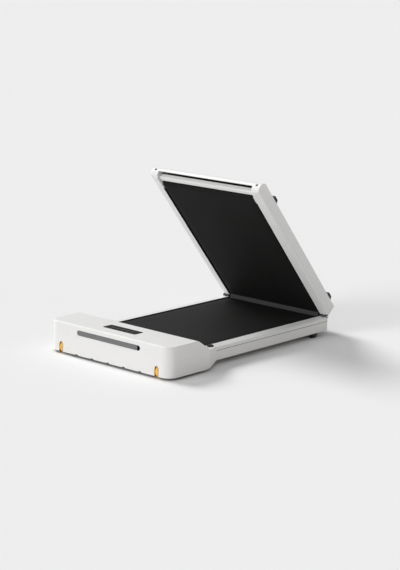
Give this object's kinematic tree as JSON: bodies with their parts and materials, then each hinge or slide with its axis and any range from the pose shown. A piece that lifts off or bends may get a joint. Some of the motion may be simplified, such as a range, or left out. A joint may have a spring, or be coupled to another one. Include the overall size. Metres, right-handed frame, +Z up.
{
  "type": "folding walking pad",
  "caption": "Slim under-desk walking pad in white and black, folding in half at a centre hinge, with a motor housing, walking belt over rollers and transport wheels.",
  "frame": {"origin": "middle of the footprint on the floor, with the rear half tipped up as pictured", "axes": "+X to the right seen from the motor housing, +Y from the motor housing to the fold, +Z up"},
  "size_m": [0.518, 0.8736, 0.555],
  "materials": {
    "white_plastic": "white moulded plastic, fine satin texture",
    "white_rail": "white powder coat on metal",
    "belt_rubber": "black walking belt with a fine woven grip texture",
    "deck_board": "black film on pressed board",
    "black_plastic": "black moulded plastic",
    "zinc_steel": "zinc plated steel",
    "bright_steel": "ground steel",
    "black_steel": "black paint on steel tube and can",
    "armature": "wound laminated core",
    "drive_belt": "ribbed drive belt",
    "display_glass": "smoked gloss window",
    "light_bar": "grey translucent plastic",
    "circuit_board": "green circuit board",
    "heat_sink": "extruded aluminium",
    "capacitor": "sleeved can",
    "rocker": "gloss black",
    "wheel_orange": "amber polyurethane",
    "foot_rubber": "black rubber",
    "grey_plastic": "light grey moulded plastic"
  },
  "bodies": {
    "front_frame": {"belt_bridge": "belt_rubber", "belt_front": "belt_rubber", "belt_wrap": "belt_rubber", "board_capacitors": "capacitor", "control_board": "circuit_board", "cover_screws": "black_steel", "display_board": "circuit_board", "display_window": "display_glass", "drive_belt": "drive_belt", "drive_roller_shaft": "bright_steel", "fold_bumpers": "foot_rubber", "front_cross_members": "black_steel", "front_deck_board": "deck_board", "front_light_bar": "light_bar", "front_rail_feet": "foot_rubber", "front_rail_left": "white_rail", "front_rail_right": "white_rail", "front_underside_panel": "black_plastic", "heat_sink": "heat_sink", "hinge_leaf_front_left": "white_rail", "hinge_leaf_front_right": "white_rail", "hinge_pins": "bright_steel", "housing_base": "black_plastic", "housing_cover": "white_plastic", "housing_feet": "foot_rubber", "motor_bracket": "zinc_steel", "motor_can": "black_steel", "power_inlet": "black_plastic", "receiver_window": "display_glass", "side_plate_left": "zinc_steel", "side_plate_right": "zinc_steel", "switch_bezel": "black_plastic", "wheel_axles": "bright_steel", "wheel_forks": "zinc_steel"},
    "rear_frame": {"rear_cross_members": "black_steel", "rear_deck_board": "deck_board", "rear_underside_panel": "black_plastic", "rear_feet": "foot_rubber", "belt_rear": "belt_rubber", "tail_roller_axle": "bright_steel", "tail_axle_blocks": "grey_plastic", "tension_bolts": "black_steel", "tail_guard_bar": "white_plastic", "tail_cover": "white_plastic", "rear_rail_left": "white_rail", "rear_rail_right": "white_rail", "rear_end_cap_left": "white_plastic", "rear_end_cap_right": "white_plastic", "hinge_leaf_rear_left": "white_rail", "hinge_leaf_rear_right": "white_rail"},
    "drive_roller": {"drive_roller_tube": "bright_steel", "drive_roller_bearings": "bright_steel", "drive_pulley": "black_plastic"},
    "tail_roller": {"tail_roller_tube": "bright_steel", "tail_roller_bearings": "bright_steel"},
    "motor_rotor": {"motor_armature": "armature", "motor_pulley": "bright_steel"},
    "wheel_left": {"transport_wheel_left": "wheel_orange"},
    "wheel_right": {"transport_wheel_right": "wheel_orange"},
    "rocker": {"power_rocker": "rocker"}
  },
  "joints": [
    {"name": "fold", "type": "hinge", "parent": "front_frame", "child": "rear_frame", "pos_m": [0, 0.3922, 0.064], "axis": [1, 0, 0], "range_deg": [-131, 48.73], "deforming": ["belt_bridge", "belt_wrap"]},
    {"name": "motor_spin", "type": "hinge", "parent": "front_frame", "child": "motor_rotor", "pos_m": [0, -0.3738, 0.0495], "axis": [1, 0, 0], "continuous": true},
    {"name": "drive_roller_spin", "type": "hinge", "parent": "front_frame", "child": "drive_roller", "pos_m": [0, -0.2858, 0.0387], "axis": [1, 0, 0], "continuous": true},
    {"name": "tail_roller_spin", "type": "hinge", "parent": "rear_frame", "child": "tail_roller", "pos_m": [0, 0.03898, 0.5089], "axis": [1, 0, 0], "continuous": true},
    {"name": "wheel_left_spin", "type": "hinge", "parent": "front_frame", "child": "wheel_left", "pos_m": [-0.205, -0.4158, 0.022], "axis": [1, 0, 0], "continuous": true},
    {"name": "wheel_right_spin", "type": "hinge", "parent": "front_frame", "child": "wheel_right", "pos_m": [0.205, -0.4158, 0.022], "axis": [1, 0, 0], "continuous": true},
    {"name": "power_switch", "type": "hinge", "parent": "front_frame", "child": "rocker", "pos_m": [-0.2505, -0.3638, 0.045], "axis": [0, 0, 1], "range_deg": [0, 16]}
  ],
  "couplings": [
    {"joint": "drive_roller_spin", "follows": "motor_spin", "ratio": 0.47826},
    {"joint": "tail_roller_spin", "follows": "motor_spin", "ratio": 0.47826}
  ]
}
